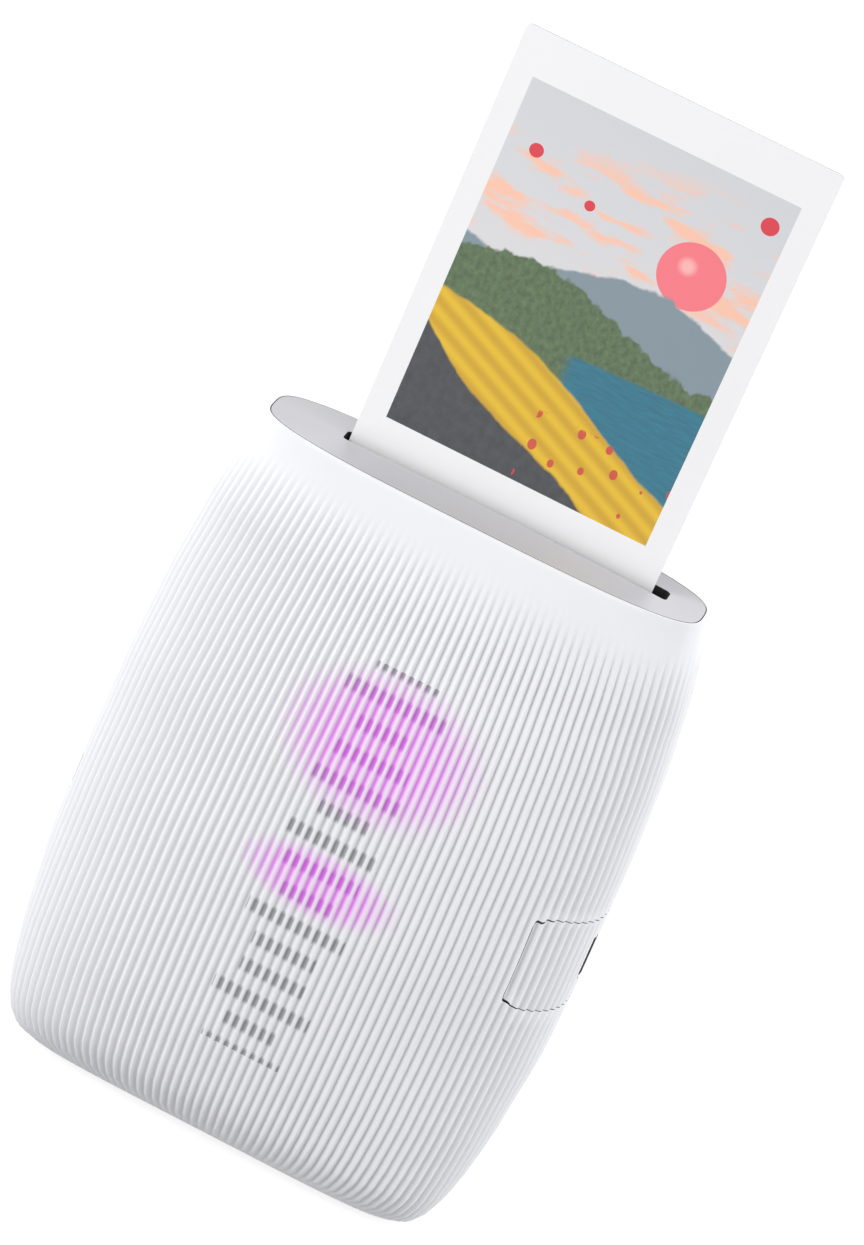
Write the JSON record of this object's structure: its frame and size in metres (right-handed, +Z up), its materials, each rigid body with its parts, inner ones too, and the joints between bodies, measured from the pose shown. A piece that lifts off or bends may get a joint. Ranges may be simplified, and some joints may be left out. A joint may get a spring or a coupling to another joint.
{
  "type": "compact photo printer",
  "caption": "Upright hand-size instant-film photo printer: finely ribbed white body, smooth grey top cap with a film slot and a finished print in it, side button, hinged film door at the back.",
  "frame": {"origin": "middle of the body's foot, where it stands", "axes": "+Z up through the film slot, +X to the printer's right as seen from its front, the ribbed lit front faces -Y and the film door faces +Y"},
  "size_m": [0.09, 0.0372, 0.1996],
  "materials": {
    "case_white": "satin",
    "grip_grey": "satin",
    "cap_grey": "satin",
    "smoked_lens": "gloss",
    "spring_steel": "brushed",
    "steel": "turned",
    "frame_grey": "matte",
    "pack_black": "matte",
    "film": "gloss",
    "lens_glass": "polished",
    "ribbon": "matte",
    "roller_rubber": "matte",
    "gear_white": "satin",
    "brass": "turned",
    "motor_can": "drawn",
    "board_green": "gloss",
    "chip_black": "matte",
    "lamp": "gloss",
    "socket_steel": "polished",
    "battery_foil": "foil",
    "diffuser": "milky",
    "felt": "felt"
  },
  "bodies": {
    "case": {"back_shell": "case_white", "battery": "battery_foil", "board_chips": "chip_black", "button_spring": "spring_steel", "case_screws": "steel", "charging_socket": "socket_steel", "chassis": "frame_grey", "film_claw": "spring_steel", "film_pack": "pack_black", "film_stack": "film", "front_shell": "case_white", "head_cable": "ribbon", "head_lens": "lens_glass", "hinge_pin": "steel", "lamps": "lamp", "light_board": "board_green", "light_diffuser": "diffuser", "light_seals": "felt", "main_board": "board_green", "motor": "motor_can", "pack_spring": "spring_steel", "print_head": "pack_black", "switch": "chip_black", "top_cap": "cap_grey"},
    "door": {"film_door": "case_white", "pressure_leaves": "spring_steel"},
    "latch": {"door_latch": "grip_grey"},
    "button": {"power_button": "case_white", "button_window": "smoked_lens"},
    "drive_roller": {"drive_shaft": "steel", "drive_sleeve": "roller_rubber", "drive_gear": "gear_white"},
    "pinch_roller": {"pinch_shaft": "steel", "pinch_sleeve": "roller_rubber", "pinch_gear": "gear_white"},
    "idler": {"idler_gear": "gear_white"},
    "second_stage": {"second_gear": "gear_white"},
    "first_stage": {"first_gear": "gear_white"},
    "motor_rotor": {"motor_shaft": "steel", "motor_pinion": "brass"},
    "film": {"print": "film"}
  },
  "joints": [
    {"name": "door_hinge", "type": "hinge", "parent": "case", "child": "door", "pos_m": [0, 0.01464, 0.0076], "axis": [-1, 0, 0], "range_deg": [0, 85]},
    {"name": "latch_slide", "type": "slide", "parent": "door", "child": "latch", "axis": [0, 0, -1], "range_m": [0, 0.0024], "stiffness_N_per_m": 200, "springref_m": -0.002},
    {"name": "button_press", "type": "slide", "parent": "case", "child": "button", "axis": [-1, 0, 0], "range_m": [0, 0.0008], "stiffness_N_per_m": 1000, "springref_m": -0.001, "deforming": ["button_spring"]},
    {"name": "drive_roller_spin", "type": "hinge", "parent": "case", "child": "drive_roller", "pos_m": [0, 0.0035, 0.1152], "axis": [-1, 0, 0], "range_deg": [-1757.1, 0]},
    {"name": "pinch_roller_spin", "type": "hinge", "parent": "case", "child": "pinch_roller", "pos_m": [0, -0.0035, 0.1152], "axis": [-1, 0, 0], "range_deg": [0, 1757.2]},
    {"name": "idler_spin", "type": "hinge", "parent": "case", "child": "idler", "pos_m": [0, 0.00438, 0.10671], "axis": [-1, 0, 0], "range_deg": [0, 1222.5]},
    {"name": "second_stage_spin", "type": "hinge", "parent": "case", "child": "second_stage", "pos_m": [0, 0.00219, 0.09983], "axis": [-1, 0, 0], "range_deg": [-2811.5, 0]},
    {"name": "first_stage_spin", "type": "hinge", "parent": "case", "child": "first_stage", "pos_m": [0, -0.00131, 0.09278], "axis": [-1, 0, 0], "range_deg": [0, 7309.7]},
    {"name": "motor_spin", "type": "hinge", "parent": "case", "child": "motor_rotor", "pos_m": [0, -0.00634, 0.08857], "axis": [-1, 0, 0], "range_deg": [-17056, 0]},
    {"name": "film_feed", "type": "slide", "parent": "case", "child": "film", "axis": [0, 0, 1], "range_m": [-0.1012, 0]}
  ],
  "couplings": [
    {"joint": "drive_roller_spin", "follows": "film_feed", "rad_per_m": 303.03},
    {"joint": "pinch_roller_spin", "follows": "film_feed", "rad_per_m": -303.03},
    {"joint": "idler_spin", "follows": "film_feed", "rad_per_m": -210.8},
    {"joint": "second_stage_spin", "follows": "film_feed", "rad_per_m": 484.85},
    {"joint": "first_stage_spin", "follows": "film_feed", "rad_per_m": -1260.6},
    {"joint": "motor_spin", "follows": "film_feed", "rad_per_m": 2941.4}
  ]
}
